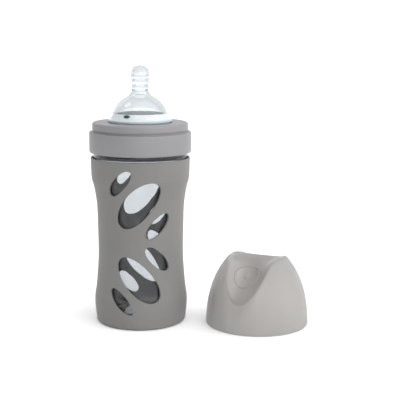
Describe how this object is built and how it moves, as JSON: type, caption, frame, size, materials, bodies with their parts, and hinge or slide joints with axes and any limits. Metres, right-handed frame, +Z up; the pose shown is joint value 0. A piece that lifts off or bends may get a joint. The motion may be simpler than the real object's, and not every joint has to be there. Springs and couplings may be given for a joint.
{
  "type": "baby bottle",
  "caption": "Wide-neck glass feeding bottle in a slotted silicone sleeve, with a screw collar, soft teat and air valve, and a frosted dome cap standing beside it.",
  "frame": {"origin": "centre of the sleeve's underside, where the bottle stands on a table", "axes": "+Z up along the bottle's axis, -Y towards the front, +X towards the cap that stands beside the bottle"},
  "size_m": [0.1585, 0.0805, 0.1852],
  "materials": {
    "glass": "clear, fire-polished",
    "sleeve_silicone": "matte, fine satin grain",
    "collar_plastic": "satin moulded",
    "teat_silicone": "clear, smooth",
    "valve_silicone": "satin",
    "cap_plastic": "frosted translucent, polished inside the two scoops"
  },
  "bodies": {
    "bottle": {"glass_bottle": "glass", "silicone_sleeve": "sleeve_silicone"},
    "teat_body": {"teat": "teat_silicone", "air_valve": "valve_silicone"},
    "collar": {"screw_collar": "collar_plastic"},
    "cap_body": {"cap": "cap_plastic"}
  },
  "joints": [
    {"name": "teat_lift", "type": "slide", "parent": "bottle", "child": "teat_body", "axis": [0, 0, 1], "range_m": [0, 0.0201]},
    {"name": "collar_turn", "type": "hinge", "parent": "teat_body", "child": "collar", "pos_m": [0, 0, 0.1345], "axis": [0, 0, 1], "range_deg": [0, 600]},
    {"name": "cap_lift", "type": "slide", "parent": "bottle", "child": "cap_body", "axis": [0, 0, 1], "range_m": [0, 0.1]}
  ],
  "couplings": [
    {"joint": "teat_lift", "follows": "collar_turn", "m_per_rad": 0.0019099}
  ]
}
